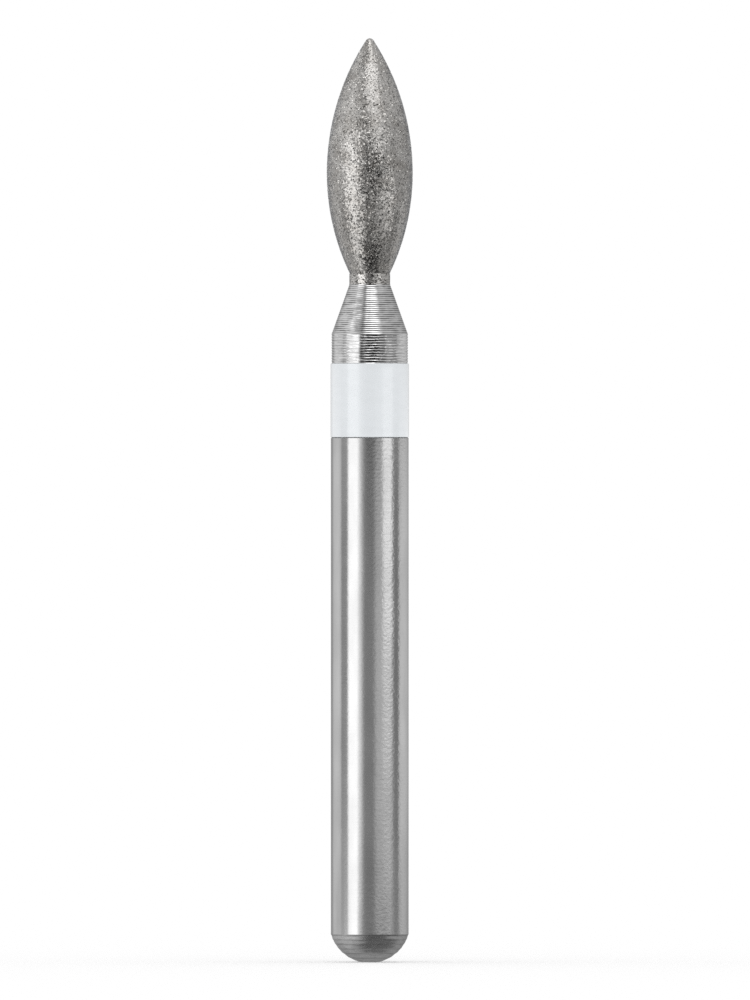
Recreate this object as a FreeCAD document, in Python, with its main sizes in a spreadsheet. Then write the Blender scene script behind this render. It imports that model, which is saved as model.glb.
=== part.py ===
import FreeCAD, Part
from enum import IntEnum
import math
import os
import re
import Sketcher

# Dental bur for a friction-grip chuck: a turned and ground steel blank, its flame-shaped head
# plated with nickel-bonded diamond grit, and a white lacquer ring that marks the grit size.
# Millimetres. +Z runs along the bur's axis from the shank end to the tip of the head, and the
# origin is the centre of the shank's end face, which bottoms in the chuck.

SHEET = "Dimensions"

# Every size that can be set by itself: name, value in millimetres, what it is.
DIMENSIONS = [
    ("shank_dia", 1.600, "ground shank, the standard friction-grip size"),
    ("shank_length", 10.790, "end face to the top edge of the ground shank"),
    ("shank_bevel", 0.020, "bevel at the top edge of the ground shank"),
    ("end_flat_dia", 0.400, "small faced flat on the shank end"),
    ("dome_height", 0.575, "height of the domed shank end"),
    ("ring_width", 1.515, "length of the lacquer ring along the axis"),
    ("ring_proud", 0.007, "how far the lacquer stands out past the shank"),
    ("ring_round", 0.012, "rounded edges of the lacquer ring"),
    ("seat_depth", 0.035, "how deep the lacquer's seat is turned into the shank"),
    ("collar_step", 0.012, "how far the collar is turned below the shank"),
    ("collar_length", 0.602, "length of the turned collar"),
    ("cone_length", 1.024, "length of the cone from the collar to the neck"),
    ("neck_dia", 0.840, "thinnest section, just under the head"),
    ("neck_length", 0.224, "length of the cylindrical neck"),
    ("neck_round", 0.200, "tool-nose radius where the cone runs into the neck"),
    ("head_dia", 1.785, "widest section of the finished head"),
    ("head_length", 4.845, "neck to tip over the coating"),
    ("belly_height", 2.066, "height of the widest section above the neck"),
    ("tip_radius", 0.105, "rounded tip over the coating"),
    ("coating", 0.030, "thickness of the nickel-bonded diamond layer"),
]
NAMES = {name for name, _, _ in DIMENSIONS}

# Radii and heights of the rims, as formulas of the named sizes.
SHANK_RADIUS = "shank_dia / 2"
SEAT_RADIUS = f"{SHANK_RADIUS} - seat_depth"
RING_RADIUS = f"{SHANK_RADIUS} + ring_proud"
COLLAR_RADIUS = f"{SHANK_RADIUS} - collar_step"
NECK_RADIUS = "neck_dia / 2"
HEAD_RADIUS = "head_dia / 2"
SHANK_TOP = "shank_length"
RING_TOP = f"{SHANK_TOP} + ring_width"
COLLAR_TOP = f"{RING_TOP} + collar_length"
CONE_TOP = f"{COLLAR_TOP} + cone_length"
NECK_TOP = f"{CONE_TOP} + neck_length"
BELLY = f"{NECK_TOP} + belly_height"
TIP = f"{NECK_TOP} + head_length"

# Both flanks of the head are arcs centred level with the belly. The lower one starts at the neck
# and the upper one ends on the round of the tip, so their radii follow from how far they rise
# and how far the belly bulges.
BULGE = f"({HEAD_RADIUS} - {NECK_RADIUS})"
LOWER_RADIUS = f"((belly_height ^ 2 + {BULGE} ^ 2) / (2 * {BULGE}))"
RISE = "(head_length - belly_height - tip_radius)"
UPPER_RADIUS = f"(({RISE} ^ 2 + ({HEAD_RADIUS}) ^ 2 - tip_radius ^ 2) / (head_dia - 2 * tip_radius))"

# How near two places are taken to be the same one.
SAME_PLACE = 1e-4


class At(IntEnum):
    """Which point of a line or an arc a constraint holds."""

    START = 1
    END = 2
    CENTRE = 3


class Own(IntEnum):
    """The lines that every sketch has of its own: level with the end face, and up the axis."""

    BASE_LINE = -1
    AXIS = -2


# Where the two cross, at the centre of the end face.
ORIGIN = (Own.BASE_LINE, At.START)


def make_sheet(doc):
    """The spreadsheet that holds the driving dimensions."""
    sheet = doc.addObject("Spreadsheet::Sheet", SHEET)
    for row, (name, value, note) in enumerate(DIMENSIONS, start=1):
        sheet.set(f"A{row}", name)
        sheet.set(f"B{row}", str(value))
        sheet.setAlias(f"B{row}", name)
        sheet.set(f"C{row}", note)
    doc.recompute()


def on_sheet(formula):
    """The formula with each named size pointed at its cell of the sheet."""
    return re.sub(r"[a-z_]+", lambda word: f"{SHEET}.{word[0]}" if word[0] in NAMES else word[0], formula)


def value_of(obj, formula):
    """What a formula of the named sizes comes to, read through any object of the document."""
    return float(obj.evalExpression(on_sheet(formula)))


class HalfSection:
    """A closed outline on a body's XZ plane, radius across and height up, bound to the sheet."""

    def __init__(self, body, name):
        self.body = body
        self.sketch = body.newObject("Sketcher::SketchObject", name)
        plane = next(item for item in body.Origin.OriginFeatures if item.Role == "XZ_Plane")
        self.sketch.AttachmentSupport = [(plane, "")]
        self.sketch.MapMode = "FlatFace"

    def value(self, formula):
        """What a formula of the named sizes comes to."""
        return value_of(self.sketch, formula)

    def place(self, point):
        """Where a point of the outline lies now, as (radius, height)."""
        vector = self.sketch.getPoint(*point)
        return vector.x, vector.y

    def line(self, start, end):
        """A loose line between two (radius, height) places."""
        ends = [FreeCAD.Vector(*place, 0) for place in (start, end)]
        return self.sketch.addGeometry(Part.LineSegment(*ends), False)

    def arc(self, centre, radius, angles):
        """A loose arc about a (radius, height) place, between two angles in radians."""
        circle = Part.Circle(FreeCAD.Vector(*centre, 0), FreeCAD.Vector(0, 0, 1), radius)
        return self.sketch.addGeometry(Part.ArcOfCircle(circle, *angles), False)

    def bind(self, kind, *where, formula):
        """Adds a dimension that follows the formula."""
        rule = Sketcher.Constraint(kind, *where, self.value(formula))
        index = self.sketch.addConstraint(rule)
        self.sketch.setExpression(f"Constraints[{index}]", on_sheet(formula))

    def hold_radius(self, point, formula):
        """Keeps a point at a radius from the axis, or on the axis where the formula is 0."""
        if formula == "0":
            self.sketch.addConstraint(Sketcher.Constraint("PointOnObject", *point, Own.AXIS))
        else:
            self.bind("DistanceX", *ORIGIN, *point, formula=formula)

    def hold_height(self, point, formula):
        """Keeps a point at a height above the end face, or level with it where the formula is 0."""
        if formula == "0":
            self.sketch.addConstraint(Sketcher.Constraint("PointOnObject", *point, Own.BASE_LINE))
        else:
            self.bind("DistanceY", *ORIGIN, *point, formula=formula)

    def join(self, first, second):
        """Makes two points of the outline coincide."""
        self.sketch.addConstraint(Sketcher.Constraint("Coincident", *first, *second))

    def blend(self, first, second):
        """Makes one arc run smoothly out of the end of another."""
        self.sketch.addConstraint(Sketcher.Constraint("Tangent", first, At.END, second, At.START))

    def polygon(self, places):
        """Lines round (radius formula, height formula) places, with each corner held by its formulas."""
        corners = [(self.value(radius), self.value(height)) for radius, height in places]
        lines = [self.line(corners[i - 1], corners[i]) for i in range(len(corners))]
        for line, following, (radius, height) in zip(lines, lines[1:] + lines[:1], places):
            self.join((line, At.END), (following, At.START))
            self.hold_radius((line, At.END), radius)
            self.hold_height((line, At.END), height)

    def turn(self, kind, name):
        """The full turn of the outline about the axis: a Revolution adds it, a Groove cuts it."""
        feature = self.body.newObject(f"PartDesign::{kind}", name)
        feature.Profile = self.sketch
        feature.ReferenceAxis = (self.sketch, ["V_Axis"])
        feature.Angle = 360
        return feature


def flame(section, inset="0"):
    """The head's flank from the neck to the tip, moved inwards by an inset.

    Three arcs meet without a corner: the flank up to the belly, the flank above it and the small
    round of the tip. Returns the outline's first and last point.
    """
    inwards = section.value(inset)
    belly, tip_level = section.value(BELLY), section.value(f"{TIP} - tip_radius")
    head_radius, tip_radius = section.value(HEAD_RADIUS), section.value("tip_radius")
    lower_radius, upper_radius = section.value(LOWER_RADIUS), section.value(UPPER_RADIUS)
    foot_angle = -math.asin(section.value("belly_height") / (lower_radius - inwards))
    tip_angle = math.atan2(tip_level - belly, upper_radius - head_radius)
    lower = section.arc((head_radius - lower_radius, belly), lower_radius - inwards, (foot_angle, 0))
    upper = section.arc((head_radius - upper_radius, belly), upper_radius - inwards, (0, tip_angle))
    tip = section.arc((0, tip_level), tip_radius - inwards, (tip_angle, math.pi / 2))

    section.bind("Radius", lower, formula=f"{LOWER_RADIUS} - {inset}")
    section.bind("DistanceX", lower, At.CENTRE, *ORIGIN, formula=f"{LOWER_RADIUS} - {HEAD_RADIUS}")
    section.hold_height((lower, At.START), NECK_TOP)
    for point in ((lower, At.CENTRE), (lower, At.END), (upper, At.CENTRE)):
        section.hold_height(point, BELLY)
    section.join((lower, At.END), (upper, At.START))
    section.blend(upper, tip)
    section.bind("Radius", tip, formula=f"tip_radius - {inset}")
    section.hold_radius((tip, At.CENTRE), "0")
    section.hold_height((tip, At.CENTRE), f"{TIP} - tip_radius")
    section.hold_radius((tip, At.END), "0")
    return (lower, At.START), (tip, At.END)


def shank(body):
    """Ground shank with its domed end and the small flat faced on it."""
    section = HalfSection(body, "shank_outline")
    flat, radius = section.value("end_flat_dia / 2"), section.value(SHANK_RADIUS)
    dome, top = section.value("dome_height"), section.value(SHANK_TOP)
    # The dome's centre is on the axis, equally far from both of its rims.
    level = (dome**2 + radius**2 - flat**2) / (2 * dome)
    angles = math.atan2(-level, flat), math.atan2(dome - level, radius)
    end_face = section.line((0, 0), (flat, 0))
    end_dome = section.arc((0, level), math.hypot(flat, level), angles)
    side = section.line((radius, dome), (radius, top))
    lid = section.line((radius, top), (0, top))
    centreline = section.line((0, top), (0, 0))
    loop = [end_face, end_dome, side, lid, centreline]
    for first, second in zip(loop, loop[1:] + loop[:1]):
        section.join((first, At.END), (second, At.START))
    section.join((end_face, At.START), ORIGIN)
    section.hold_radius((end_face, At.END), "end_flat_dia / 2")
    section.hold_height((end_face, At.END), "0")
    section.hold_radius((end_dome, At.CENTRE), "0")
    section.hold_radius((end_dome, At.END), SHANK_RADIUS)
    section.hold_height((end_dome, At.END), "dome_height")
    section.hold_radius((side, At.END), SHANK_RADIUS)
    section.hold_height((side, At.END), SHANK_TOP)
    section.hold_radius((lid, At.END), "0")
    section.hold_height((lid, At.END), SHANK_TOP)
    return section.turn("Revolution", "ground_shank")


def turned_neck(body):
    """Collar, cone and neck, turned above the ground shank in one setting."""
    section = HalfSection(body, "neck_outline")
    section.polygon(
        [
            ("0", SHANK_TOP),
            (COLLAR_RADIUS, SHANK_TOP),
            (COLLAR_RADIUS, COLLAR_TOP),
            (NECK_RADIUS, CONE_TOP),
            (NECK_RADIUS, NECK_TOP),
            ("0", NECK_TOP),
        ]
    )
    return section.turn("Revolution", "collar_cone_and_neck")


def head_core(body):
    """The steel inside the coating: the head's own flank, one coating thickness further in."""
    section = HalfSection(body, "core_outline")
    foot, crown = flame(section, "coating")
    base = section.value(NECK_TOP)
    floor = section.line((0, base), section.place(foot))
    centreline = section.line(section.place(crown), (0, base))
    section.join((floor, At.END), foot)
    section.join((centreline, At.START), crown)
    section.join((centreline, At.END), (floor, At.START))
    section.hold_radius((floor, At.START), "0")
    section.hold_height((floor, At.START), NECK_TOP)
    return section.turn("Revolution", "head_core")


def ring_seat(body):
    """Shallow groove that the lacquer fills, from the shank's top edge to the collar."""
    section = HalfSection(body, "ring_seat_outline")
    section.polygon(
        [
            (SEAT_RADIUS, SHANK_TOP),
            (SHANK_RADIUS, SHANK_TOP),
            (SHANK_RADIUS, RING_TOP),
            (SEAT_RADIUS, RING_TOP),
        ]
    )
    return section.turn("Groove", "ring_seat")


def rim(feature, radius, height):
    """Name of the circular edge of that radius at that height, both given as formulas."""
    wanted = value_of(feature, radius), value_of(feature, height)
    for number, edge in enumerate(feature.Shape.Edges, start=1):
        # A pole's edge has shrunk to a point and has no curve to ask.
        if edge.Degenerated or not isinstance(edge.Curve, Part.Circle):
            continue
        if math.dist((edge.Curve.Radius, edge.Curve.Center.z), wanted) < SAME_PLACE:
            return f"Edge{number}"
    raise ValueError(f"no rim of radius {radius} at height {height}")


def dress(kind, name, base, size, rims):
    """A Fillet or a Chamfer of a named size on the (radius, height) rims of a feature."""
    body = base.getParentGeoFeatureGroup()
    body.Document.recompute()
    feature = body.newObject(f"PartDesign::{kind}", name)
    feature.Base = (base, [rim(base, *place) for place in rims])
    feature.setExpression({"Fillet": "Radius", "Chamfer": "Size"}[kind], on_sheet(size))
    return feature


def make_blank(doc):
    """The steel blank: shank, neck and head core, turned and ground from one bar."""
    body = doc.addObject("PartDesign::Body", "steel_blank")
    shank(body)
    turned_neck(body)
    head_core(body)
    seat = ring_seat(body)
    bevelled = dress("Chamfer", "shank_edge", seat, "shank_bevel", [(SHANK_RADIUS, SHANK_TOP)])
    dress("Fillet", "neck_root", bevelled, "neck_round", [(NECK_RADIUS, CONE_TOP)])
    return body


def make_coating(doc):
    """The nickel-bonded diamond layer: an even shell over the core, seated on the neck's rim."""
    body = doc.addObject("PartDesign::Body", "diamond_coating")
    section = HalfSection(body, "coating_outline")
    foot, crown = flame(section)
    inner_foot, inner_crown = flame(section, "coating")
    rim_edge = section.line(section.place(inner_foot), section.place(foot))
    tip_wall = section.line(section.place(crown), section.place(inner_crown))
    section.join((rim_edge, At.START), inner_foot)
    section.join((rim_edge, At.END), foot)
    section.join((tip_wall, At.START), crown)
    section.join((tip_wall, At.END), inner_crown)
    section.turn("Revolution", "coating_shell")
    return body


def make_ring(doc):
    """The white lacquer ring, which fills its seat and stands just proud of the shank."""
    body = doc.addObject("PartDesign::Body", "colour_ring")
    section = HalfSection(body, "ring_outline")
    section.polygon(
        [
            (SEAT_RADIUS, SHANK_TOP),
            (RING_RADIUS, SHANK_TOP),
            (RING_RADIUS, RING_TOP),
            (SEAT_RADIUS, RING_TOP),
        ]
    )
    ring = section.turn("Revolution", "lacquer_ring")
    rims = [(RING_RADIUS, SHANK_TOP), (RING_RADIUS, RING_TOP)]
    dress("Fillet", "ring_edges", ring, "ring_round", rims)
    return body


def check(doc, parts):
    """Stops the build if any object failed or a part isn't one sound solid."""
    failed = [obj.Name for obj in doc.Objects if {"Invalid", "Error"} & set(obj.State)]
    if failed:
        raise RuntimeError(f"failed objects: {failed}")
    for part in parts:
        shape = part.Shape
        if shape.isNull() or not shape.isValid() or len(shape.Solids) != 1:
            raise RuntimeError(f"{part.Label} isn't one sound solid")


def main():
    doc = FreeCAD.newDocument("dental_bur")
    make_sheet(doc)
    parts = [make_blank(doc), make_coating(doc), make_ring(doc)]
    doc.recompute()
    check(doc, parts)
    os.makedirs("parts", exist_ok=True)
    for part in parts:
        part.Shape.exportStep(f"parts/{part.Label}.step")
        box = part.Shape.BoundBox
        print(f"{part.Label}: {part.Shape.Volume:.4f} mm3, z {box.ZMin:.3f} to {box.ZMax:.3f}")


main()
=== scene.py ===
import logging
import math
from collections.abc import Sequence
from dataclasses import asdict, dataclass, fields
from enum import Enum
from functools import partial
from typing import Any

import bpy
import numpy as np
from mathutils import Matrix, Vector


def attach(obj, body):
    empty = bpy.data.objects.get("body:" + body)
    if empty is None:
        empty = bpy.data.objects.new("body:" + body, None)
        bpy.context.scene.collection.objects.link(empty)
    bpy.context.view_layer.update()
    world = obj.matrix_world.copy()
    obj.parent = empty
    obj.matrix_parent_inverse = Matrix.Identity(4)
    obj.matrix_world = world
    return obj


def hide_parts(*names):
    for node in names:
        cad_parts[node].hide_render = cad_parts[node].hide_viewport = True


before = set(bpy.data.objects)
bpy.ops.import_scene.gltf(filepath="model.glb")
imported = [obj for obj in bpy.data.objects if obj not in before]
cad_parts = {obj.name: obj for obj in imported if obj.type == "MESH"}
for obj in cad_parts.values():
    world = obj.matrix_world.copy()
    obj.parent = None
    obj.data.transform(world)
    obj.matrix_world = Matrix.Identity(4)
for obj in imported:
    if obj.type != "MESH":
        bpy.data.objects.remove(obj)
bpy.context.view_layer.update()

# Dental bur for a friction-grip chuck: a ground and turned steel blank, a flame-shaped head of
# nickel-bonded diamond grit and a white lacquer ring. Sizes are in millimetres, as in the CAD
# model, and become metres where a mesh is made. +Z runs along the bur from the shank end to the
# tip, and the camera looks along +Y.

MM = 0.001
MICRON = 0.000001
SEGMENTS = 160
MATH = "ShaderNodeMath"
VECTOR_MATH = "ShaderNodeVectorMath"

log = logging.getLogger("bur")

Place = tuple[float, float]
Span = tuple[float, float]
Size = tuple[float, float, float]
Settings = dict[str, Any]


class Slot(Enum):
    """The material slots of the record."""

    STEEL = "steel"
    GRIT = "diamond_grit"
    LACQUER = "white_lacquer"


class Node(Enum):
    """The CAD nodes that the pieces stand for."""

    BLANK = "steel_blank"
    COATING = "diamond_coating"
    RING = "colour_ring"


def linear(colour: str) -> tuple[float, float, float, float]:
    """Turns an sRGB hex colour into the linear one that shaders take.

    Args:
        colour: The colour as six hex digits after a #.

    Returns:
        Red, green, blue and an alpha of 1.
    """
    shares = [int(colour[i : i + 2], 16) / 255 for i in (1, 3, 5)]
    red, green, blue = (s / 12.92 if s <= 0.04045 else ((s + 0.055) / 1.055) ** 2.4 for s in shares)
    return red, green, blue, 1.0


def first_output(node: bpy.types.Node) -> bpy.types.NodeSocket:
    """The first output that the node's settings leave in use."""
    return next(socket for socket in node.outputs if socket.enabled)


def add(
    tree: bpy.types.NodeTree,
    kind: str,
    inputs: dict[str | int, Any] | None = None,
    **settings: Any,
) -> bpy.types.Node:
    """Adds a node with its settings, values and links.

    Args:
        tree: The node tree that gets it.
        kind: Blender's name for the kind of node.
        inputs: For each input, by name or number, a plain value, the output socket that is linked
            to it, or a node whose first output is linked to it.
        **settings: The node's own properties, such as its operation.

    Returns:
        The new node.
    """
    node = tree.nodes.new(kind)
    for name, value in settings.items():
        setattr(node, name, value)
    for key, value in (inputs or {}).items():
        if isinstance(value, bpy.types.Node):
            value = first_output(value)
        if isinstance(value, bpy.types.NodeSocket):
            tree.links.new(value, node.inputs[key])
        else:
            node.inputs[key].default_value = value
    return node


# Outlines and meshes.


def straight(start: Place, end: Place, steps: int) -> list[Place]:
    """Places along a straight flank.

    Args:
        start: First (radius, height).
        end: Last (radius, height).
        steps: Number of equal steps between them.

    Returns:
        The places after the start, up to and with the end.
    """
    (r0, z0), (r1, z1) = start, end
    return [(r0 + (r1 - r0) * i / steps, z0 + (z1 - z0) * i / steps) for i in range(1, steps + 1)]


def bow(centre: Place, radius: float, start: float, end: float, steps: int) -> list[Place]:
    """Places along an arc.

    Args:
        centre: Centre of the arc as (radius, height).
        radius: Radius of the arc.
        start: Angle of its first place in radians, above the outward direction.
        end: Angle of its last place.
        steps: Number of equal steps between them.

    Returns:
        The places from the first to the last.
    """
    angles = [start + (end - start) * i / steps for i in range(steps + 1)]
    return [(centre[0] + radius * math.cos(a), centre[1] + radius * math.sin(a)) for a in angles]


def lathe(name: str, outline: Sequence[Place], closed: bool = False) -> bpy.types.Object:
    """Turns an outline about the Z axis into a smooth, closed mesh.

    Args:
        name: Name of the new piece.
        outline: (radius, height) in millimetres, up the outside. Places on the axis are poles.
        closed: Whether the outline runs back to its start, as a ring's section does.

    Returns:
        The new object, at the origin, with its faces pointing outwards.
    """
    turns = [2 * math.pi * j / SEGMENTS for j in range(SEGMENTS)]
    points: list[tuple[float, float, float]] = []
    rows: list[list[int]] = []
    for radius, height in outline:
        around = turns if radius > 0 else [0.0]
        rows.append(list(range(len(points), len(points) + len(around))))
        points += [
            (radius * math.cos(a) * MM, radius * math.sin(a) * MM, height * MM) for a in around
        ]
    pairs = list(zip(rows, rows[1:] + rows[:1] if closed else rows[1:]))
    faces = []
    for low, high in pairs:
        for j in range(SEGMENTS):
            k = (j + 1) % SEGMENTS
            below = [low[j % len(low)], low[k % len(low)]]
            above = [high[k % len(high)], high[j % len(high)]]
            faces.append(list(dict.fromkeys(below + above)))
    mesh = bpy.data.meshes.new(name)
    mesh.from_pydata(points, [], faces)
    mesh.validate()
    piece = bpy.data.objects.new(name, mesh)
    bpy.context.scene.collection.objects.link(piece)
    return piece


def smooth(piece: bpy.types.Object, crease: float) -> None:
    """Shades a piece smooth, apart from edges that turn by more than the crease in degrees."""
    piece.data.shade_smooth()
    piece.data.set_sharp_from_angle(angle=math.radians(crease))


# What repeats over the bur, made with Geometry Nodes: tool marks and diamond grains.

# The attributes in which the trees note how torn a place is, where the finish also paints the
# groove's shade, and what tone a grain has.
TORN_AND_SHADE = "torn"
TONE = "tone"
# Length in millimetres over which the shake of a cutting tool changes.
SHAKE_LENGTH = 0.35
# Half the soft border of the torn metal and its painted groove shade, as a share of a feed.
TEAR_AND_SHADE_BORDER = 0.05
# Grains are tried at this many points on each square of this width in millimetres, and those that
# come too close to another are left out.
TRIES_A_PLACE = 4
PLACE_WIDTH = 0.03


def new_tree(name: str, sockets: dict[str, str]) -> bpy.types.NodeTree:
    """Starts a Geometry Nodes tree that a modifier can run.

    Args:
        name: The tree's name.
        sockets: For each named input after Geometry, its kind of socket.

    Returns:
        The tree, with a group input and a group output in it.
    """
    tree = bpy.data.node_groups.new(name, "GeometryNodeTree")
    tree.is_modifier = True
    for direction in ("INPUT", "OUTPUT"):
        tree.interface.new_socket("Geometry", in_out=direction, socket_type="NodeSocketGeometry")
    for title, kind in sockets.items():
        tree.interface.new_socket(title, in_out="INPUT", socket_type=f"NodeSocket{kind}")
    return tree


def run_tree(piece: bpy.types.Object, tree: bpy.types.NodeTree, values: Settings) -> None:
    """Puts a tree on a piece as a modifier with its inputs set.

    Args:
        piece: The object that gets the modifier.
        tree: The Geometry Nodes tree.
        values: A value for each named input.
    """
    modifier = piece.modifiers.new(tree.name, "NODES")
    modifier.node_group = tree
    for socket in tree.interface.items_tree:
        if socket.in_out == "INPUT" and socket.name in values:
            modifier[socket.identifier] = values[socket.name]


def settle(piece: bpy.types.Object) -> None:
    """Replaces a piece's mesh by what its modifiers make of it, and removes them.

    Args:
        piece: The object with the modifiers.
    """
    graph = bpy.context.evaluated_depsgraph_get()
    mesh = bpy.data.meshes.new_from_object(piece.evaluated_get(graph), depsgraph=graph)
    piece.modifiers.clear()
    piece.data = mesh
    mesh.name = piece.name


@dataclass(frozen=True)
class ToolMarks:
    """The rings that a cutting tool leaves as it feeds along a turned surface.

    Each ring is the shallow hollow of the tool's nose, and the cusps between them stay at full
    size. A lathe leaves one spiral, but its lead of one feed a turn doesn't show.

    Attributes:
        low: Height of the band's lower end in millimetres.
        high: Height of its upper end.
        feed: How far the tool moves in one turn.
        depth: How deep it cuts below the cusps.
        lean: Share of a feed over which a ring runs down to its bottom. The rest runs up again.
        nose: How round the bottom is. At 1 it is sharp.
        unevenness: How much shallower a ring may be than the deepest, as a share.
        chatter: How far the rings bend, as a share of a feed.
        tear_and_shade: Share of a feed, amid the upward flank, where the tool tore the metal
        and the finish paints groove shade.
        seed: Picks the rings' depths and their bends.
    """

    low: float
    high: float
    feed: float
    depth: float
    lean: float
    nose: float
    unevenness: float
    chatter: float
    tear_and_shade: float
    seed: int

    def inputs(self, finish: bpy.types.Material) -> Settings:
        """The tree's inputs for these marks, with the finish that the tool leaves."""
        lengths = {name: getattr(self, name) * MM for name in ("low", "high", "feed", "depth")}
        return {**asdict(self), **lengths, "finish": finish}


def tool_mark_tree() -> bpy.types.NodeTree:
    """The Geometry Nodes tree that cuts tool marks into a band of a turned piece.

    Returns:
        A tree with an input for each field of ToolMarks, and one for the finish.
    """
    sockets = {mark.name: "Float" for mark in fields(ToolMarks)}
    tree = new_tree("tool_marks", {**sockets, "seed": "Int", "finish": "Material"})
    put = partial(add, tree)
    given = put("NodeGroupInput").outputs
    place = put("GeometryNodeInputPosition")
    height = put("ShaderNodeSeparateXYZ", {0: place}).outputs["Z"]
    above = put(MATH, {0: height, 1: given["low"]}, operation="GREATER_THAN")
    below = put(MATH, {0: height, 1: given["high"]}, operation="LESS_THAN")
    within = put(MATH, {0: above, 1: below}, operation="MULTIPLY")
    # The tool shakes a little, which bends the rings by a share of one feed.
    shake = {"Vector": place, "W": given["seed"], "Scale": 1 / (SHAKE_LENGTH * MM), "Detail": 1.0}
    shake = put("ShaderNodeTexNoise", shake, noise_dimensions="4D")
    shake = put(MATH, {0: shake, 1: 0.5}, operation="SUBTRACT")
    bend = put(MATH, {0: shake, 1: given["chatter"]}, operation="MULTIPLY")
    climb = put(MATH, {0: height, 1: given["low"]}, operation="SUBTRACT")
    turns = put(MATH, {0: climb, 1: given["feed"]}, operation="DIVIDE")
    turns = put(MATH, {0: turns, 1: bend}, operation="ADD")
    # Each ring runs down to its deepest place over the lean's share of the feed, and up again
    # over the rest, and the tool's nose rounds its bottom.
    along = put(MATH, {0: turns}, operation="FRACT")
    to_go = put(MATH, {0: 1.0, 1: along}, operation="SUBTRACT")
    rest = put(MATH, {0: 1.0, 1: given["lean"]}, operation="SUBTRACT")
    down = put(MATH, {0: along, 1: given["lean"]}, operation="DIVIDE")
    up = put(MATH, {0: to_go, 1: rest}, operation="DIVIDE")
    nearer = put(MATH, {0: down, 1: up}, operation="MINIMUM")
    above_it = put(MATH, {0: 1.0, 1: nearer}, operation="SUBTRACT")
    rounded = put(MATH, {0: above_it, 1: given["nose"]}, operation="POWER")
    hollow = put(MATH, {0: 1.0, 1: rounded}, operation="SUBTRACT")
    # No two rings are equally deep.
    ring = put(MATH, {0: turns}, operation="FLOOR")
    number = put(MATH, {0: ring, 1: given["seed"]}, operation="ADD")
    chance = put("ShaderNodeTexWhiteNoise", {"W": number}, noise_dimensions="1D")
    less = put(MATH, {0: chance, 1: given["unevenness"]}, operation="MULTIPLY")
    share = put(MATH, {0: 1.0, 1: less}, operation="SUBTRACT")
    cut = put(MATH, {0: hollow, 1: share}, operation="MULTIPLY")
    cut = put(MATH, {0: cut, 1: given["depth"]}, operation="MULTIPLY")
    cut = put(MATH, {0: cut, 1: within}, operation="MULTIPLY")
    inwards = put(MATH, {0: cut, 1: -1.0}, operation="MULTIPLY")
    normal = put("GeometryNodeInputNormal")
    offset = put(VECTOR_MATH, {0: normal, "Scale": inwards}, operation="SCALE")
    # The share of the feed amid the upward flank that is torn, and painted as the groove's shade,
    # is noted for the finish to show.
    middle = put(MATH, {0: 1.0, 1: given["lean"]}, operation="ADD")
    middle = put(MATH, {0: middle, 1: 0.5}, operation="MULTIPLY")
    off = put(MATH, {0: along, 1: middle}, operation="SUBTRACT")
    off = put(MATH, {0: off}, operation="ABSOLUTE")
    half = put(MATH, {0: given["tear_and_shade"], 1: 0.5}, operation="MULTIPLY")
    outer = put(MATH, {0: half, 1: TEAR_AND_SHADE_BORDER}, operation="ADD")
    inner = put(MATH, {0: half, 1: TEAR_AND_SHADE_BORDER}, operation="SUBTRACT")
    flank = put("ShaderNodeMapRange", {"Value": off, "From Min": outer, "From Max": inner})
    torn = put(MATH, {0: flank, 1: share}, operation="MULTIPLY")
    noted = put(
        "GeometryNodeStoreNamedAttribute",
        {"Geometry": given["Geometry"], "Selection": within, "Name": TORN_AND_SHADE, "Value": torn},
        data_type="FLOAT",
        domain="POINT",
    )
    marked = put("GeometryNodeSetPosition", {"Geometry": noted, "Offset": offset})
    whole = put("GeometryNodeRealizeInstances", {"Geometry": marked})
    finish = {"Geometry": whole, "Selection": within, "Material": given["finish"]}
    dressed = put("GeometryNodeSetMaterial", finish)
    put("NodeGroupOutput", {"Geometry": dressed})
    return tree


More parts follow.
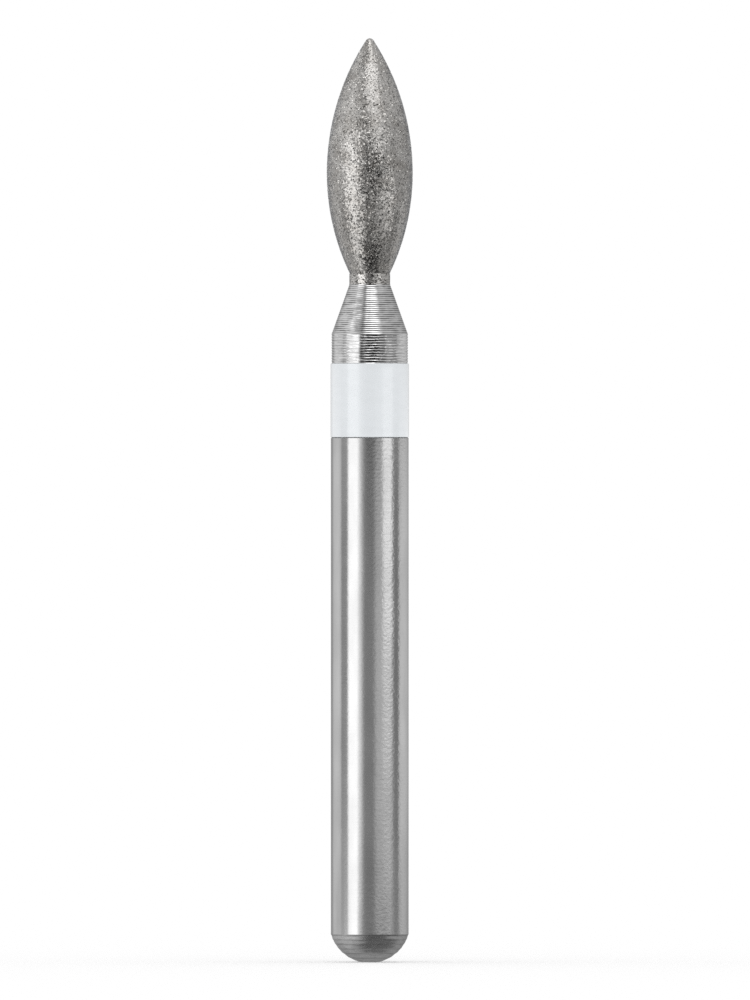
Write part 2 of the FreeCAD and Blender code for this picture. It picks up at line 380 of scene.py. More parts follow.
def grain_tree() -> bpy.types.NodeTree:
    """The Geometry Nodes tree that strews crystals over a surface and sinks them into it.

    Returns:
        A tree with the inputs spacing, smallest, largest, sunk, foot, seed and finish.
    """
    measures = ("spacing", "smallest", "largest", "sunk", "foot")
    sockets = {**dict.fromkeys(measures, "Float"), "seed": "Int", "finish": "Material"}
    tree = new_tree("diamond_grains", sockets)
    put = partial(add, tree)
    given = put("NodeGroupInput").outputs
    place = put("GeometryNodeInputPosition")
    height = put("ShaderNodeSeparateXYZ", {0: place}).outputs["Z"]
    wanted = put(MATH, {0: height, 1: given["foot"]}, operation="GREATER_THAN")
    strewn = put(
        "GeometryNodeDistributePointsOnFaces",
        {
            "Mesh": given["Geometry"],
            "Selection": wanted,
            "Distance Min": given["spacing"],
            "Density Max": TRIES_A_PLACE / (PLACE_WIDTH * MM) ** 2,
            "Seed": given["seed"],
        },
        distribute_method="POISSON",
    )
    # Crushed diamond breaks into blocks and points, so three simple crystals are mixed. Each has
    # its corners one unit from its middle.
    side = 2 / math.sqrt(3)
    block = put("GeometryNodeMeshCube", {"Size": (side, side, side)})
    point = put("GeometryNodeMeshUVSphere", {"Segments": 4, "Rings": 2, "Radius": 1.0})
    chip = put("GeometryNodeMeshIcoSphere", {"Radius": 1.0, "Subdivisions": 1})
    crystals = put("GeometryNodeJoinGeometry")
    for crystal in (block, point, chip):
        single = put("GeometryNodeGeometryToInstance", {"Geometry": crystal})
        tree.links.new(single.outputs[0], crystals.inputs[0])
    # A random value of each kind for every grain, with a shift of the seed of its own. A node of
    # random values has a pair of inputs for each kind, and first is the number of the pair's first.
    full_turn = (2 * math.pi,) * 3
    rolls: dict[str, bpy.types.Node] = {}
    for title, kind, first, low, high, shift in (
        ("crystal", "INT", 4, 0, 2, 1),
        ("turn", "FLOAT_VECTOR", 0, (0.0, 0.0, 0.0), full_turn, 2),
        ("size", "FLOAT", 2, given["smallest"], given["largest"], 3),
        ("tone", "FLOAT", 2, 0.0, 1.0, 4),
    ):
        seed = put(MATH, {0: given["seed"], 1: shift}, operation="ADD")
        ends = {first: low, first + 1: high, "Seed": seed}
        rolls[title] = put("FunctionNodeRandomValue", ends, data_type=kind)
    # Each grain is sunk by a share of its own size, so that all of them stay within reach.
    share = put(MATH, {0: given["sunk"], 1: -1.0}, operation="MULTIPLY")
    depth = put(MATH, {0: rolls["size"], 1: share}, operation="MULTIPLY")
    outwards = strewn.outputs["Normal"]
    inwards = put(VECTOR_MATH, {0: outwards, "Scale": depth}, operation="SCALE")
    points = {"Geometry": strewn.outputs["Points"], "Offset": inwards}
    seated = put("GeometryNodeSetPosition", points)
    grown = put(
        "GeometryNodeInstanceOnPoints",
        {
            "Points": seated,
            "Instance": crystals,
            "Pick Instance": True,
            "Instance Index": rolls["crystal"],
            "Rotation": rolls["turn"],
            "Scale": rolls["size"],
        },
    )
    toned = put(
        "GeometryNodeStoreNamedAttribute",
        {"Geometry": grown, "Name": TONE, "Value": rolls["tone"]},
        data_type="FLOAT",
        domain="INSTANCE",
    )
    whole = put("GeometryNodeRealizeInstances", {"Geometry": toned})
    flat = put("GeometryNodeSetShadeSmooth", {"Geometry": whole, "Shade Smooth": False})
    dressed = put("GeometryNodeSetMaterial", {"Geometry": flat, "Material": given["finish"]})
    put("NodeGroupOutput", {"Geometry": dressed})
    return tree


# Finishes.

# Most of a noise's values lie in the first span, and nearly all in the second.
MOST: Span = (0.35, 0.65)
NEARLY_ALL: Span = (0.3, 0.7)
# Past this border lie about one in six of the values from 0 to 0.5.
FAR_LEAN: Span = (0.415, 0.420)
# The head's metal is painted darker towards its foot, as shade on its lower flank, between these
# heights in millimetres.
SHADED_FOOT: Span = (14.9, 16.6)


class Finish:
    """A material with a Principled shader, its surface node and a bump chain."""

    def __init__(self, name: str, values: Settings) -> None:
        """Starts the material.

        Args:
            name: The real material and how its surface was made.
            values: Plain values for the shader's own sockets.
        """
        self.material = bpy.data.materials.new(name)
        self.material.use_nodes = True
        self.tree = self.material.node_tree
        self.tree.nodes.clear()
        self.shader = add(self.tree, "ShaderNodeBsdfPrincipled", values)
        add(self.tree, "ShaderNodeOutputMaterial", {"Surface": self.shader})
        self.place = add(self.tree, "ShaderNodeTexCoord").outputs["Object"]
        self.relief: bpy.types.Node | None = None

    def noise(
        self, size: Size | float, detail: float = 2.0, rough: float = 0.5
    ) -> bpy.types.Node:
        """Noise whose features have a size in millimetres.

        Args:
            size: Feature size along X, Y and Z, or one size for all three.
            detail: How many finer layers are added.
            rough: How strong the finer layers are.

        Returns:
            The noise node, whose first output runs from 0 to 1.
        """
        sizes = (size,) * 3 if isinstance(size, float) else size
        scales = tuple(1 / (s * MM) for s in sizes)
        vector = add(self.tree, "ShaderNodeMapping", {"Vector": self.place, "Scale": scales})
        values = {"Vector": vector, "Scale": 1.0, "Detail": detail, "Roughness": rough}
        return add(self.tree, "ShaderNodeTexNoise", values)

    def spread(self, source: Any, given: Span, wanted: Span = (0.0, 1.0)) -> bpy.types.Node:
        """Maps the given span of a value to the wanted one, without going past its ends."""
        ends = dict(zip(("From Min", "From Max", "To Min", "To Max"), given + wanted))
        return add(self.tree, "ShaderNodeMapRange", {"Value": source, **ends})

    def between(
        self, share: Any, first: str | bpy.types.Node, second: str | bpy.types.Node
    ) -> bpy.types.Node:
        """Mixes two colours by a share of the second.

        Args:
            share: Node or socket that runs from 0 to 1.
            first: A hex colour, or the node that gives one.
            second: The other colour.

        Returns:
            The node that gives the mix.
        """
        ends = [linear(end) if isinstance(end, str) else end for end in (first, second)]
        mix = {0: share, 6: ends[0], 7: ends[1]}
        return add(self.tree, "ShaderNodeMix", mix, data_type="RGBA")

    def along(self, axis: str, places: Span, wanted: Span = (0.0, 1.0)) -> bpy.types.Node:
        """Runs from one value to another between two places along an axis.

        Args:
            axis: X, Y or Z.
            places: The two places in millimetres.
            wanted: The values at the two places and beyond them.

        Returns:
            The node that gives the value.
        """
        here = add(self.tree, "ShaderNodeSeparateXYZ", {0: self.place}).outputs[axis]
        return self.spread(here, (places[0] * MM, places[1] * MM), wanted)

    def raise_by(self, height: Any, depth: float) -> None:
        """Adds a layer of bump.

        Args:
            height: Node or socket that runs from 0 to 1.
            depth: Height in micrometres that 1 stands for.
        """
        values = {"Height": height, "Distance": depth * MICRON, "Strength": 1.0}
        if self.relief is not None:
            values["Normal"] = self.relief
        self.relief = add(self.tree, "ShaderNodeBump", values)

    def facet(self, size: float, tilt: float, wild: float) -> bpy.types.NodeSocket:
        """Breaks the surface into flat facets, each with a tilt of its own.

        The few that lean far are the ones that flash, up to a lamp or down to the dark.

        Args:
            size: Size of a facet in millimetres.
            tilt: Largest tilt along each axis in degrees.
            wild: How many times further one facet in six leans, half of them up and half down.

        Returns:
            A value that differs from facet to facet, from 0 to 1.
        """
        cells = {"Vector": self.place, "Scale": 1 / (size * MM)}
        put = partial(add, self.tree)
        colour = put("ShaderNodeTexVoronoi", cells).outputs["Color"]
        halves = (0.5, 0.5, 0.5)
        centred = put(VECTOR_MATH, {0: colour, 1: halves}, operation="SUBTRACT")
        most = 2 * math.tan(math.radians(tilt))
        upwards = put("ShaderNodeSeparateXYZ", {0: centred}).outputs["Z"]
        upright = put(MATH, {0: upwards}, operation="ABSOLUTE")
        reach = self.spread(upright, FAR_LEAN, (most, most * wild))
        lean = put(VECTOR_MATH, {0: centred, "Scale": reach}, operation="SCALE")
        base = self.relief or put("ShaderNodeNewGeometry").outputs["Normal"]
        tilted = put(VECTOR_MATH, {0: base, 1: lean}, operation="ADD")
        self.relief = put(VECTOR_MATH, {0: tilted}, operation="NORMALIZE")
        return colour

    def connect(self, **sources: Any) -> bpy.types.Material:
        """Links sources to the shader's sockets and the bump to its normal.

        Args:
            **sources: For each socket, with _ for a space, the node that drives it.

        Returns:
            The finished material.
        """
        if self.relief is not None:
            self.tree.links.new(first_output(self.relief), self.shader.inputs["Normal"])
        for socket, node in sources.items():
            self.tree.links.new(first_output(node), self.shader.inputs[socket.replace("_", " ")])
        return self.material


@dataclass(frozen=True)
class GroundSteel:
    """Hardened stainless steel, centreless ground.

    The wheel leaves fine lines round the shank, which keep reflections sharp across it and
    stretch them along it. On the side that was handled most, a fine mottle frosts the edges of
    the reflections. The lines are drawn coarser than the wheel's own, so that they show.
    """

    colour: str = "#BFBFBF"
    worn: str = "#B5B5B5"
    tint: str = "#D0D0D0"
    roughness: Span = (0.13, 0.22)
    anisotropy: float = 0.7
    line_size: Size = (0.5, 0.5, 0.012)
    line_depth: float = 0.10
    mottle_size: Size = (0.065, 0.065, 0.06)
    mottle_depth: float = 4.4
    handled: Span = (-0.2, 0.35)
    frosted: Span = (0.2, 1.0)
    cloud_size: Size = (0.4, 0.4, 1.2)

    def material(self) -> bpy.types.Material:
        """Builds the finish.

        Returns:
            The finished material.
        """
        # The quarter turn stretches reflections across the lines, which is along the shank.
        values = {
            "Metallic": 1.0,
            "Anisotropic": self.anisotropy,
            "Anisotropic Rotation": 0.25,
            "Specular Tint": linear(self.tint),
        }
        finish = Finish("stainless_steel_ground", values)
        around = add(finish.tree, "ShaderNodeTangent", direction_type="RADIAL", axis="Z")
        lines = finish.noise(self.line_size, detail=3.0, rough=0.6)
        mottle = finish.noise(self.mottle_size, detail=3.0)
        side = finish.along("X", self.handled, self.frosted)
        frost = add(finish.tree, MATH, {0: mottle, 1: side}, operation="MULTIPLY")
        finish.raise_by(lines, self.line_depth)
        finish.raise_by(frost, self.mottle_depth)
        rough = finish.spread(lines, NEARLY_ALL, self.roughness)
        cloud = finish.spread(finish.noise(self.cloud_size, detail=3.0), MOST)
        colour = finish.between(cloud, self.colour, self.worn)
        return finish.connect(Base_Color=colour, Roughness=rough, Tangent=around)


@dataclass(frozen=True)
class TurnedSteel:
    """The same steel as a cutting tool left it.

    The rings themselves are in the mesh, and mirror light and dark by turns. The finish adds dull
    streaks, the torn metal amid each ring's upward flank, painted darker as shade in the groove and
    rubbed smooth here and there, and the drag along the cut, drawn coarser than it is, so that it
    shows.
    """

    name: str
    colour: str = "#E2E2E2"
    streak: str = "#C8C8C8"
    # The torn bands' colour: torn metal, painted darker as shade in the rings' grooves.
    torn_and_shade_colour: str = "#767676"
    tint: str = "#D0D0D0"
    roughness: Span = (0.05, 0.16)
    drag_size: Size = (0.35, 0.35, 0.014)
    drag_depth: float = 0.25
    lump_size: float = 0.05
    lump_depth: float = 0.5
    streak_size: Size = (0.12, 0.12, 0.03)
    streaks: Span = (0.5, 0.75)
    rub_size: Size = (0.3, 0.3, 0.10)
    rubs: Span = (0.42, 0.62)
    rubbed: float = 0.6

    def material(self) -> bpy.types.Material:
        """Builds the finish.

        Returns:
            The finished material.
        """
        finish = Finish(self.name, {"Metallic": 1.0, "Specular Tint": linear(self.tint)})
        drag = finish.noise(self.drag_size, detail=3.0, rough=0.6)
        lumps = finish.noise(self.lump_size)
        finish.raise_by(drag, self.drag_depth)
        finish.raise_by(lumps, self.lump_depth)
        rough = finish.spread(lumps, MOST, self.roughness)
        streaks = finish.spread(finish.noise(self.streak_size), self.streaks)
        bright = finish.between(streaks, self.colour, self.streak)
        # The torn bands are painted dark, partly torn metal and partly painted shade in the
        # grooves.
        torn = add(finish.tree, "ShaderNodeAttribute", attribute_name=TORN_AND_SHADE).outputs["Fac"]
        rub = finish.noise(self.rub_size, detail=3.0)
        left = finish.spread(rub, self.rubs, (1.0, self.rubbed))
        shown = add(finish.tree, MATH, {0: torn, 1: left}, operation="MULTIPLY")
        colour = finish.between(shown, bright, self.torn_and_shade_colour)
        return finish.connect(Base_Color=colour, Roughness=rough)


@dataclass(frozen=True)
class PlatedNickel:
    """Nickel plated up between the grains.

    It is satin and lumpy. It grew in small facets that flash one by one, and it is thin in patches.
    Its pits are painted dark, as shade between the grains, and towards the neck it is painted
    darker, as shade on the head's lower flank.
    """

    colour: str = "#BEBCB9"
    # The nickel's colour at the head's foot, painted darker as shade on the lower flank.
    foot: str = "#A19F9C"
    thin: str = "#A3A09C"
    # Painted shade in the pits between the grains.
    pit_shade: str = "#3A3836"
    tint: str = "#C1C4C9"
    roughness: Span = (0.06, 0.30)
    lump_size: float = 0.026
    lump_depth: float = 2.0
    facet_size: float = 0.030
    facet_tilt: float = 8.0
    facet_wild: float = 3.8
    facet_tones: Span = (0.2, 0.8)
    patch_size: float = 0.3
    patches: Span = (0.45, 0.65)
    pit_shade_size: float = 0.028
    pit_shading: Span = (0.60, 0.64)

    def material(self) -> bpy.types.Material:
        """Builds the finish.

        Returns:
            The finished material.
        """
        values = {"Metallic": 1.0, "Specular Tint": linear(self.tint)}
        finish = Finish("nickel_plated_satin", values)
        lumps = finish.noise(self.lump_size, rough=0.6)
        finish.raise_by(lumps, self.lump_depth)
        facets = finish.facet(self.facet_size, self.facet_tilt, self.facet_wild)
        rough = finish.spread(facets, self.facet_tones, self.roughness)
        patches = finish.spread(finish.noise(self.patch_size, detail=3.0), self.patches)
        # The pits are painted dark, as shade where the grains block the light.
        pit_shade = finish.spread(finish.noise(self.pit_shade_size), self.pit_shading)
        # Towards the neck the nickel is painted darker, as shade on the head's lower flank.
        level = finish.between(finish.along("Z", SHADED_FOOT), self.foot, self.colour)
        plate = finish.between(patches, level, self.thin)
        colour = finish.between(pit_shade, plate, self.pit_shade)
        return finish.connect(Base_Color=colour, Roughness=rough)


@dataclass(frozen=True)
class CrushedDiamond:
    """Crushed synthetic diamond under a flash of nickel.

    Most grains are capped with metal and flash one by one as their broken faces catch a light.
    The rest, about a fifth, are bare and look like dark glass.
    """

    capped: str = "#E2E0DC"
    # The capped grains' colour at the head's foot, painted darker as shade on the lower flank.
    foot: str = "#BAB8B4"
    bare: str = "#2E2D2C"
    bare_border: Span = (0.19, 0.21)
    roughness: float = 0.10
    ior: float = 2.42

    def material(self) -> bpy.types.Material:
        """Builds the finish.

        Returns:
            The finished material.
        """
        values = {"IOR": self.ior, "Roughness": self.roughness}
        finish = Finish("diamond_crushed_nickel_capped", values)
        tone = add(finish.tree, "ShaderNodeAttribute", attribute_name=TONE).outputs["Fac"]
        cap = finish.spread(tone, self.bare_border)
        # Towards the neck the capped grains are painted darker, as shade on the head's lower flank.
        metal = finish.between(finish.along("Z", SHADED_FOOT), self.foot, self.capped)
        colour = finish.between(cap, self.bare, metal)
        return finish.connect(Base_Color=colour, Metallic=cap)


@dataclass(frozen=True)
class WhiteLacquer:
    """Stoved white lacquer.

    It is even, with a clear gloss on top that mirrors the lamps softly, and the faintest ripple
    from its brushing.
    """

    colour: str = "#E2E6E9"
    thin: str = "#E0E4E7"
    roughness: Span = (0.27, 0.33)
    gloss: float = 0.045
    ior: float = 1.5
    ripple_size: Size = (0.3, 0.3, 0.12)
    ripple_depth: float = 0.15
    thinning: Span = (0.4, 0.6)

    def material(self) -> bpy.types.Material:
        """Builds the finish.

        Returns:
            The finished material.
        """
        coat = {"Coat Weight": 1.0, "Coat Roughness": self.gloss, "Coat IOR": self.ior}
        finish = Finish("lacquer_white_stoved", {"IOR": self.ior, **coat})
        ripple = finish.noise(self.ripple_size, detail=1.0)
        finish.raise_by(ripple, self.ripple_depth)
        colour = finish.between(finish.spread(ripple, self.thinning), self.colour, self.thin)
        rough = finish.spread(ripple, NEARLY_ALL, self.roughness)
        return finish.connect(Base_Color=colour, Roughness=rough)


# The bur's own pieces.


def keep(piece: bpy.types.Object, node: Node) -> None:
    """Hands a finished piece to the frame.

    Args:
        piece: The piece, with its mesh and materials final.
        node: The CAD node that it stands for.
    """
    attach(piece, "root")
    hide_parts(node.value)


def report(piece: bpy.types.Object) -> None:
    """Logs a piece's triangles, its heights and its radius.

    Args:
        piece: The finished piece.
    """
    piece.data.calc_loop_triangles()
    low, high = Vector(piece.bound_box[0]) / MM, Vector(piece.bound_box[6]) / MM
    size = "%s: %d triangles, z %.3f to %.3f mm, radius %.4f mm"
    log.info(size, piece.name, len(piece.data.loop_triangles), low.z, high.z, high.x)


@dataclass
class Blank:
    """The steel blank from the shank end to the head: one bar, turned and then ground."""

    shank_radius: float = 0.800
    shank_top: float = 10.790
    bevel: float = 0.020
    flat_radius: float = 0.200
    dome_height: float = 0.575
    seat_radius: float = 0.765
    seat_top: float = 12.305
    collar_radius: float = 0.788
    collar_top: float = 12.907
    cone_top: float = 13.931
    neck_radius: float = 0.420
    neck_top: float = 14.155
    root_radius: float = 0.200
    crease: float = 14.0
    rows_a_ring: int = 10
    flat_rows: int = 4
    dome_rows: int = 96
    wall_rows: int = 24
    root_rows: int = 12
    land_rows: int = 32
    facing: ToolMarks = ToolMarks(
        low=0.004,
        high=0.574,
        feed=0.095,
        depth=0.008,
        lean=0.6,
        nose=1.2,
        unevenness=0.6,
        chatter=0.3,
        tear_and_shade=0.25,
        seed=11,
    )
    turning: ToolMarks = ToolMarks(
        low=12.305,
        high=12.907,
        feed=0.0547,
        depth=0.0140,
        lean=0.25,
        nose=1.05,
        unevenness=0.15,
        chatter=0.45,
        tear_and_shade=0.30,
        seed=23,
    )
    tapering: ToolMarks = ToolMarks(
        low=12.909,
        high=13.931,
        feed=0.0411,
        depth=0.0050,
        lean=0.42,
        nose=1.05,
        unevenness=0.35,
        chatter=0.22,
        tear_and_shade=0.45,
        seed=37,
    )
    plated: ToolMarks = ToolMarks(
        low=13.931,
        high=14.155,
        feed=0.0560,
        depth=0.0020,
        lean=0.5,
        nose=1.6,
        unevenness=0.8,
        chatter=0.9,
        tear_and_shade=0.25,
        seed=41,
    )

    def dome(self) -> list[Place]:
        """The shank end: a small flat, and the dome up to the ground wall.

        Returns:
            The places from the axis to the wall.
        """
        rise = self.dome_height
        level = (rise**2 + self.shank_radius**2 - self.flat_radius**2) / (2 * rise)
        start = math.atan2(-level, self.flat_radius)
        end = math.atan2(rise - level, self.shank_radius)
        radius = math.hypot(self.flat_radius, level)
        flat = [(0.0, 0.0), *straight((0.0, 0.0), (self.flat_radius, 0.0), self.flat_rows)]
        return flat[:-1] + bow((0.0, level), radius, start, end, self.dome_rows)

    def root(self) -> list[Place]:
        """The tool-nose round where the cone runs into the neck.

        Returns:
            The places from the cone to the neck.
        """
        slope = math.atan2(self.collar_radius - self.neck_radius, self.cone_top - self.collar_top)
        run = self.root_radius * math.tan(slope / 2)
        centre = (self.neck_radius + self.root_radius, self.cone_top + run)
        return bow(centre, self.root_radius, math.pi + slope, math.pi, self.root_rows)

    def outline(self) -> list[Place]:
        """The whole outline, with enough rows in each turned band for its tool marks.

        Returns:
            The places from the shank end to the middle of the neck's top.
        """
        root = self.root()
        wall_foot = (self.shank_radius, self.dome_height)
        wall_top = (self.shank_radius, self.shank_top - self.bevel)
        wall = straight(wall_foot, wall_top, self.wall_rows)
        rim = (self.shank_radius - self.bevel, self.shank_top)
        seat = [rim, (self.seat_radius, self.shank_top), (self.seat_radius, self.seat_top)]
        foot = (self.collar_radius, self.seat_top)
        collar = straight(foot, (self.collar_radius, self.collar_top), self.rows(self.turning))
        cone = straight(collar[-1], root[0], self.rows(self.tapering))
        land = straight(root[-1], (self.neck_radius, self.neck_top), self.land_rows)
        below = [*self.dome(), *wall, *seat, foot]
        return [*below, *collar, *cone, *root[1:], *land, (0.0, self.neck_top)]

    def rows(self, marks: ToolMarks) -> int:
        """How many rows a band of marks needs."""
        return round((marks.high - marks.low) / marks.feed * self.rows_a_ring)

    def bands(self) -> list[tuple[ToolMarks, TurnedSteel]]:
        """The turned bands.

        Returns:
            Each band's marks with its finish.
        """
        # The end was faced with a dull tool, which leaves it grey.
        faced = TurnedSteel(
            "stainless_steel_faced",
            colour="#C6C6C6",
            streak="#B0B0B0",
            torn_and_shade_colour="#A0A0A0",
            roughness=(0.25, 0.36),
            drag_depth=0.2,
            lump_depth=0.3,
        )
        # The collar was cut cleanly, so its rings are bright, with narrow dark lines of torn metal
        # and painted groove shade.
        turned = TurnedSteel("stainless_steel_turned")
        # On the cone the tool tore more, and the torn lines carry more painted groove shade, but
        # they are rubbed smooth in places.
        tapered = TurnedSteel(
            "stainless_steel_taper_turned", colour="#E0E0E0", torn_and_shade_colour="#545454", rubbed=0.3
        )
        # The bath left a flash of nickel on the neck, lumpy and with dark specks.
        land = TurnedSteel(
            "stainless_steel_nickel_flashed",
            colour="#C6C4C1",
            streak="#3E3C3A",
            torn_and_shade_colour="#8A8885",
            roughness=(0.15, 0.26),
            lump_depth=11.0,
            streak_size=(0.05, 0.05, 0.03),
            streaks=(0.5, 0.62),
        )
        marks = (self.facing, self.turning, self.tapering, self.plated)
        return list(zip(marks, (faced, turned, tapered, land)))

    def build(self) -> bpy.types.Object:
        """Turns the blank, cuts its tool marks and dresses it.

        Returns:
            The finished piece.
        """
        piece = lathe("steel_blank_turned", self.outline())
        piece.data.materials.append(GroundSteel().material())
        tree = tool_mark_tree()
        for marks, finish in self.bands():
            run_tree(piece, tree, marks.inputs(finish.material()))
        settle(piece)
        smooth(piece, self.crease)
        keep(piece, Node.BLANK)
        return piece


@dataclass
class Head:
    """The flame-shaped head: nickel over the steel core, full of diamond grains."""

    foot: float = 14.155
    neck_radius: float = 0.420
    belly_radius: float = 0.8925
    belly_height: float = 2.066
    length: float = 4.845
    tip_radius: float = 0.105
    stand_out: float = 0.0105
    crease: float = 30.0
    flank_rows: int = 70
    nose_rows: int = 80
    tip_rows: int = 16
    # The grit of such a bur is too fine to show, so the grains are drawn coarser and further
    # apart. Their sizes run from a crystal's middle to its corners.
    grain_spacing: float = 0.036
    smallest_grain: float = 0.013
    largest_grain: float = 0.022
    sunk: float = 0.63
    seed: int = 7

    def outline(self) -> list[Place]:
        """The nickel's outline, inside the grains' reach: two long arcs and the tip's round.

        Returns:
            The places from the neck's top to the tip.
        """
        inset, belly = self.stand_out, self.foot + self.belly_height
        tip_level = self.foot + self.length - self.tip_radius
        rise = tip_level - belly
        bulge = self.belly_radius - self.neck_radius
        taper = self.belly_radius - self.tip_radius
        lower = (self.belly_height**2 + bulge**2) / (2 * bulge)
        upper = (rise**2 + self.belly_radius**2 - self.tip_radius**2) / (2 * taper)
        foot_angle = -math.asin(self.belly_height / (lower - inset))
        tip_angle = math.atan2(rise, upper - self.belly_radius)
        flank_centre, nose_centre = self.belly_radius - lower, self.belly_radius - upper
        flank = bow((flank_centre, belly), lower - inset, foot_angle, 0, self.flank_rows)
        nose = bow((nose_centre, belly), upper - inset, 0, tip_angle, self.nose_rows)
        top = math.pi / 2
        tip = bow((0.0, tip_level), self.tip_radius - inset, tip_angle, top, self.tip_rows)
        return [(0.0, self.foot), *flank, *nose[1:], *tip[1:-1], (0.0, tip[-1][1])]

    def build(self) -> list[bpy.types.Object]:
        """Plates the head and strews its grains.

        Returns:
            The nickel coat and the grains.
        """
        coat = lathe("nickel_coat", self.outline())
        coat.data.materials.append(PlatedNickel().material())
        smooth(coat, self.crease)
        grains = lathe("diamond_grains", self.outline())
        values = {
            "spacing": self.grain_spacing * MM,
            "smallest": self.smallest_grain * MM,
            "largest": self.largest_grain * MM,
            "sunk": self.sunk,
            "foot": (self.foot + self.largest_grain) * MM,
            "seed": self.seed,
            "finish": CrushedDiamond().material(),
        }
        run_tree(grains, grain_tree(), values)
        settle(grains)
        keep(coat, Node.COATING)
        keep(grains, Node.COATING)
        return [coat, grains]


@dataclass
class ColourRing:
    """The white lacquer ring that tells the grit, in its shallow seat."""

    low: float = 10.790
    high: float = 12.305
    inner: float = 0.765
    outer: float = 0.807
    edge: float = 0.012
    crease: float = 40.0
    edge_rows: int = 8
    wall_rows: int = 12

    def build(self) -> bpy.types.Object:
        """Lays the lacquer.

        Returns:
            The finished ring.
        """
        quarter, middle = math.pi / 2, self.outer - self.edge
        below = bow((middle, self.low + self.edge), self.edge, -quarter, 0, self.edge_rows)
        above = bow((middle, self.high - self.edge), self.edge, 0, quarter, self.edge_rows)
        wall = straight(below[-1], above[0], self.wall_rows)
        section = [(self.inner, self.low), *below, *wall[:-1], *above, (self.inner, self.high)]
        ring = lathe("lacquer_ring", section, closed=True)
        ring.data.materials.append(WhiteLacquer().material())
        smooth(ring, self.crease)
        keep(ring, Node.RING)
        return ring


# The stage.

# The attribute in which the tent notes how bright it is.
GLOW = "glow"


def faded(off: np.ndarray, size: float, border: float) -> np.ndarray:
    """How much of a card is left this far off its middle, with a soft border, from 0 to 1."""
    share = np.clip((size / 2 - off) / border + 0.5, 0, 1)
    return share * share * (3 - 2 * share)


@dataclass(frozen=True)
class Card:
    """One softbox or dark card round the bur, which only the bright metal sees.

    Its measures are in degrees. Azimuth runs to the right from the camera's side, and elevation
    up from the horizon. A glow of 1 is white, and it fades over the soft borders.
    """

    azimuth: float
    width: float
    elevation: float
    height: float
    glow: float
    soft_sides: float
    soft_ends: float

    def cover(self, azimuth: np.ndarray, elevation: np.ndarray) -> np.ndarray:
        """How much of this card is seen in each direction, from 0 to 1.

        Args:
            azimuth: Directions in degrees, from -180 to 180.
            elevation: Their heights in degrees.

        Returns:
            The share of the card in each direction.
        """
        turn = np.abs((azimuth - self.azimuth + 180) % 360 - 180)
        climb = np.abs(elevation - self.elevation)
        return faded(turn, self.width, self.soft_sides) * faded(climb, self.height, self.soft_ends)


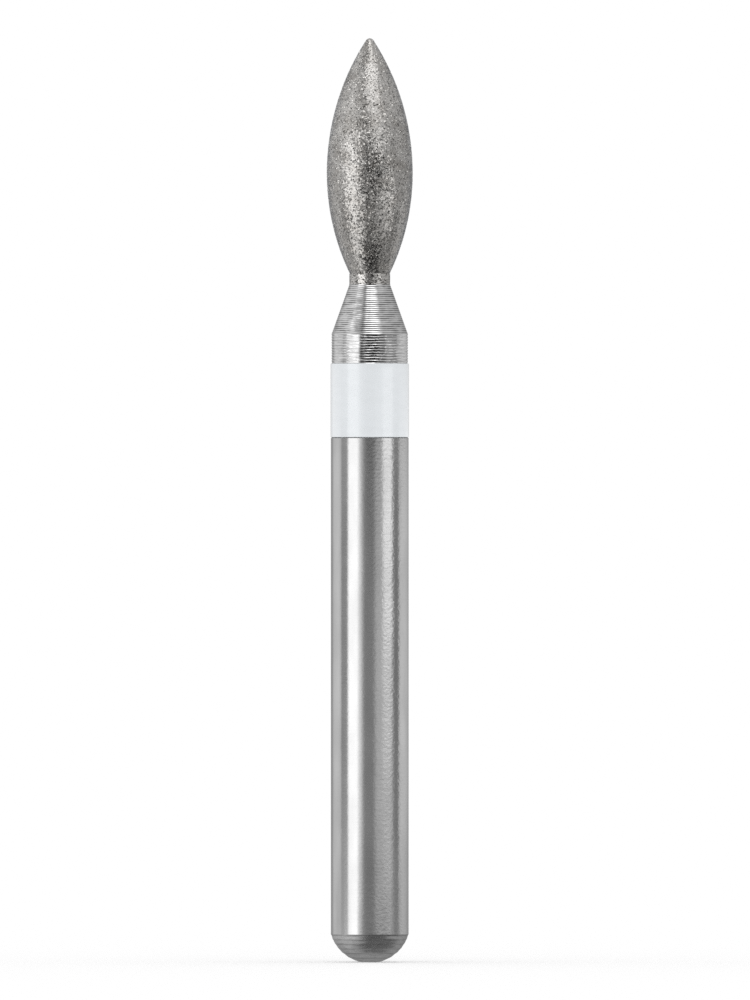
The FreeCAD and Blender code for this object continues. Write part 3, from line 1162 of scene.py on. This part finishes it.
@dataclass
class Studio:
    """A white sweep with a light tent: plain soft light, and something for the metal to mirror."""

    middle: float = 9.5
    tent_radius: float = 30.0
    tent_top: float = 89.0
    tent_columns: int = 720
    tent_rows: int = 121
    floor_size: float = 4000.0
    floor_white: float = 0.8
    # Each card lies over the ones before it.
    cards: tuple[Card, ...] = (
        # Behind the bur: the pale sweep, greyer in its middle and low down.
        Card(180, 173, 0, 400, 0.84, 2, 10),
        Card(180, 76, 0, 400, 0.66, 26, 10),
        Card(180, 173, -90, 110, 0.46, 0.8, 30),
        # What the bur's edges mirror, level by level.
        Card(130, 90, 28, 50, 0.60, 16, 8),
        Card(-115, 46, -7, 24, 1.05, 4, 6),
        Card(128, 56, -5, 17, 1.00, 16, 6),
        Card(116, 52, 12, 14, 0.55, 12, 5),
        Card(125, 70, -36, 28, 0.46, 16, 6),
        # The camera's side of the room: dark, paler overhead and darkest below.
        Card(0, 187.2, 0, 400, 0.38, 0.8, 10),
        Card(0, 187.2, 90, 118, 0.70, 0.8, 20),
        Card(-48, 56, 64, 22, 0.40, 16, 10),
        Card(0, 130, -90, 134, 0.13, 40, 16),
        Card(60, 110, -90, 92, 0.17, 16, 8),
        # Grey cards to the right and the left.
        Card(66, 84, 17, 26, 0.55, 24, 8),
        Card(-70, 60, 14, 60, 0.84, 16, 20),
        Card(-70, 96, -40, 44, 0.66, 30, 20),
        Card(-81, 24, -4.5, 18, 0.41, 6, 6),
        Card(84, 22, -7, 20, 0.30, 6, 4),
        Card(80, 50, -32, 28, 0.46, 16, 10),
        # Black cards in front, for the dark bands.
        Card(8, 44, -34, 15, 0.01, 12, 5),
        Card(10, 44, 14.5, 21, 0.04, 14, 8),
        # Lamps at the sides, for the light bands.
        Card(43, 56, -7, 24, 0.78, 18, 10),
        Card(-86, 30, -24, 12, 0.80, 10, 6),
        Card(54, 31, 0.5, 12, 1.75, 13, 7),
        Card(-64, 30, 35, 24, 1.08, 12, 10),
        Card(-41.5, 36, -3, 58, 1.40, 20, 12),
        Card(-50.5, 32, -3, 58, 2.00, 9, 12),
        # Dark cards beside the left lamps.
        Card(-26, 18, -33, 26, 0.12, 10, 8),
        Card(-23, 12, 26, 42, 0.35, 8, 8),
        # A low lamp for the head's underside, and high ones for what faces up.
        Card(-68, 26, -26.5, 11, 1.70, 4, 5),
        Card(10, 70, 69, 40, 1.75, 22, 12),
        Card(21, 34, 38, 22, 1.30, 12, 8),
        Card(0, 400, 90, 18, 2.80, 1, 6),
    )

    def tent(self) -> None:
        """Hangs the cards as one round tent that the metal alone sees."""
        azimuth, elevation = np.meshgrid(
            np.linspace(-180, 180, self.tent_columns, endpoint=False),
            np.linspace(-self.tent_top, self.tent_top, self.tent_rows),
        )
        glow = np.ones_like(azimuth)
        for card in self.cards:
            share = card.cover(azimuth, elevation)
            glow = glow * (1 - share) + card.glow * share
        a, e = np.radians(azimuth), np.radians(elevation)
        points = np.stack([np.sin(a) * np.cos(e), -np.cos(a) * np.cos(e), np.sin(e)], -1)
        points = (points * self.tent_radius + (0, 0, self.middle)) * MM
        number = np.arange(azimuth.size).reshape(azimuth.shape)
        after = np.roll(number, -1, axis=1)
        faces = np.stack([number[:-1], number[1:], after[1:], after[:-1]], -1).reshape(-1, 4)
        mesh = bpy.data.meshes.new("light_tent")
        mesh.from_pydata(points.reshape(-1, 3).tolist(), [], faces.tolist())
        mesh.attributes.new(GLOW, "FLOAT", "POINT").data.foreach_set("value", glow.ravel())
        material = bpy.data.materials.new("tent_cards")
        material.use_nodes = True
        material.cycles.emission_sampling = "NONE"
        tree = material.node_tree
        tree.nodes.clear()
        level = add(tree, "ShaderNodeAttribute", attribute_name=GLOW).outputs["Fac"]
        light = add(tree, "ShaderNodeEmission", {"Strength": level})
        add(tree, "ShaderNodeOutputMaterial", {"Surface": light})
        mesh.materials.append(material)
        tent = bpy.data.objects.new("light_tent", mesh)
        bpy.context.scene.collection.objects.link(tent)
        for ray in ("camera", "diffuse", "transmission", "volume_scatter", "shadow"):
            setattr(tent, f"visible_{ray}", False)

    def floor(self) -> None:
        """Lays the matt white floor, as bright as the background."""
        half, white = self.floor_size / 2 * MM, self.floor_white
        corners = [(-half, -half, 0), (half, -half, 0), (half, half, 0), (-half, half, 0)]
        mesh = bpy.data.meshes.new("floor")
        mesh.from_pydata(corners, [], [(0, 1, 2, 3)])
        # It gives back part of the light, with the bur's shadow, and adds the rest itself, so that
        # unshaded floor is 1.
        values = {
            "Base Color": (white, white, white, 1.0),
            "Roughness": 1.0,
            "Specular IOR Level": 0.0,
            "Emission Color": (1.0, 1.0, 1.0, 1.0),
            "Emission Strength": 1 - white,
        }
        material = Finish("sweep_paper_matt", values).connect()
        material.cycles.emission_sampling = "NONE"
        mesh.materials.append(material)
        floor = bpy.data.objects.new("floor", mesh)
        bpy.context.scene.collection.objects.link(floor)
        floor.visible_glossy = False

    def light(self) -> None:
        """Even white light from all round, at which a colour renders as it is written."""
        world = bpy.data.worlds.new("white_room")
        world.use_nodes = True
        world.node_tree.nodes.clear()
        sky = add(world.node_tree, "ShaderNodeBackground", {"Color": (1, 1, 1, 1), "Strength": 1.0})
        add(world.node_tree, "ShaderNodeOutputWorld", {"Surface": sky})
        bpy.context.scene.world = world
        bpy.context.scene.view_settings.view_transform = "Standard"
        # A denoiser would take the finest grit for noise and smear it.
        bpy.context.scene.cycles.use_denoising = False


@dataclass
class Camera:
    """A long lens level with the middle of the bur, which stands a little left of centre."""

    frame_height: float = 20.56
    lens: float = 1000.0
    sensor: float = 36.0
    aside: float = 0.108
    level: float = 9.499
    nearest: float = 1.0
    farthest: float = 100000.0

    def build(self) -> None:
        """Places the camera, and makes it the scene's."""
        data = bpy.data.cameras.new("camera")
        data.lens, data.sensor_width = self.lens, self.sensor
        data.clip_start, data.clip_end = self.nearest * MM, self.farthest * MM
        camera = bpy.data.objects.new("camera", data)
        bpy.context.scene.collection.objects.link(camera)
        away = self.frame_height * self.lens / self.sensor
        camera.location = Vector((self.aside, -away, self.level)) * MM
        camera.rotation_euler = (math.pi / 2, 0.0, 0.0)
        bpy.context.scene.camera = camera


def main() -> None:
    """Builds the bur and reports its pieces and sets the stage."""
    logging.basicConfig(level=logging.INFO, format="%(name)s %(message)s")
    for piece in (Blank().build(), *Head().build(), ColourRing().build()):
        report(piece)
    studio = Studio()
    studio.tent()
    studio.floor()
    studio.light()
    Camera().build()
    bpy.context.view_layer.update()


if __name__ == "__main__":
    main()
